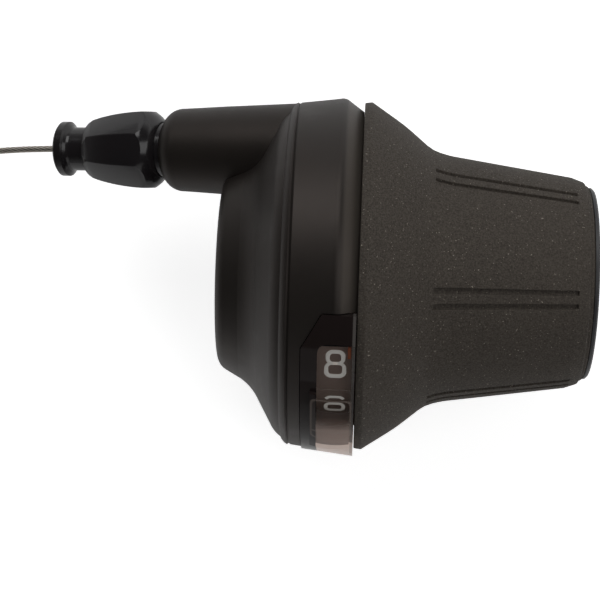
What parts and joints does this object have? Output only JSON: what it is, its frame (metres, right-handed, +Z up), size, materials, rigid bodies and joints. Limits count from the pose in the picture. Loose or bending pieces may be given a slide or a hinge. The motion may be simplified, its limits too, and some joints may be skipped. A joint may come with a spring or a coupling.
{
  "type": "hub gear twist-grip shifter",
  "caption": "Bicycle twist-grip shifter for a hub gear: handlebar clamp housing with numbered window, ribbed rubber grip, cable adjuster and coiled inner wire.",
  "frame": {"origin": "on the handlebar's axis, at the housing's inboard end", "axes": "+X along the handlebar towards its outer end (the grip side), +Y forwards, +Z up; right-hand side of the bar"},
  "size_m": [0.145, 0.0606, 0.06],
  "materials": {
    "adjuster_plastic": "polished black",
    "aluminium": "crimped cap",
    "brass": "turned",
    "cable_tie": "nylon",
    "dark_steel": "black oxide",
    "drum_plastic": "moulded, printed with pale figures 1 to 8",
    "grip_core_plastic": "moulded nylon, smooth lip",
    "grip_rubber": "soft thermoplastic elastomer, fine speckle",
    "housing_plastic": "moulded nylon, fine texture",
    "inner_plastic": "moulded acetal, smooth",
    "mask_plastic": "gloss black",
    "pointer_paint": "orange",
    "smoked_lens": "smoked clear polycarbonate with a magnifier",
    "stainless": "stainless",
    "wire_steel": "stranded, drawn",
    "zinc_steel": "zinc plated"
  },
  "bodies": {
    "bracket": {"bracket_tube": "inner_plastic", "clamp_band": "inner_plastic", "clamp_bolt": "dark_steel", "clamp_nut": "zinc_steel", "inboard_cover": "housing_plastic", "housing_ring": "housing_plastic", "cover_screws": "dark_steel", "display_mask": "mask_plastic", "display_lens": "smoked_lens", "lens_screw": "dark_steel", "gear_pointer": "pointer_paint", "detent_spring": "stainless", "spring_pin": "zinc_steel", "wire_guide": "inner_plastic", "thrust_washer": "stainless", "retaining_clip": "stainless", "adjuster_seat": "inner_plastic", "adjuster_spring": "stainless", "inner_wire": "wire_steel", "gear_wire": "wire_steel", "gear_wire_coil": "wire_steel", "coil_tie": "cable_tie", "wire_end_cap": "aluminium"},
    "twist_grip": {"grip_rubber": "grip_rubber", "grip_tube": "grip_core_plastic", "spool": "inner_plastic", "detent_ring": "inner_plastic", "number_drum": "drum_plastic", "wire_nipple": "brass", "wire_on_spool": "wire_steel"},
    "adjuster_knob": {"adjuster_barrel": "adjuster_plastic"},
    "adjuster_rod": {"adjuster_screw": "adjuster_plastic"}
  },
  "joints": [
    {"name": "grip_twist", "type": "hinge", "parent": "bracket", "child": "twist_grip", "pos_m": [0, 0, 0], "axis": [1, 0, 0], "range_deg": [0, 98], "deforming": ["detent_spring", "wire_on_spool"]},
    {"name": "adjuster_turn", "type": "hinge", "parent": "bracket", "child": "adjuster_knob", "pos_m": [0, 0.0206, -0.00018], "axis": [-0.9659, 0, -0.2588], "range_deg": [-360, 1440]},
    {"name": "adjuster_travel", "type": "slide", "parent": "bracket", "child": "adjuster_rod", "axis": [-0.9659, 0, -0.2588], "range_m": [-0.0008, 0.0032], "deforming": ["adjuster_spring"]}
  ],
  "couplings": [
    {"joint": "adjuster_turn", "follows": "adjuster_travel", "rad_per_m": 7854}
  ]
}
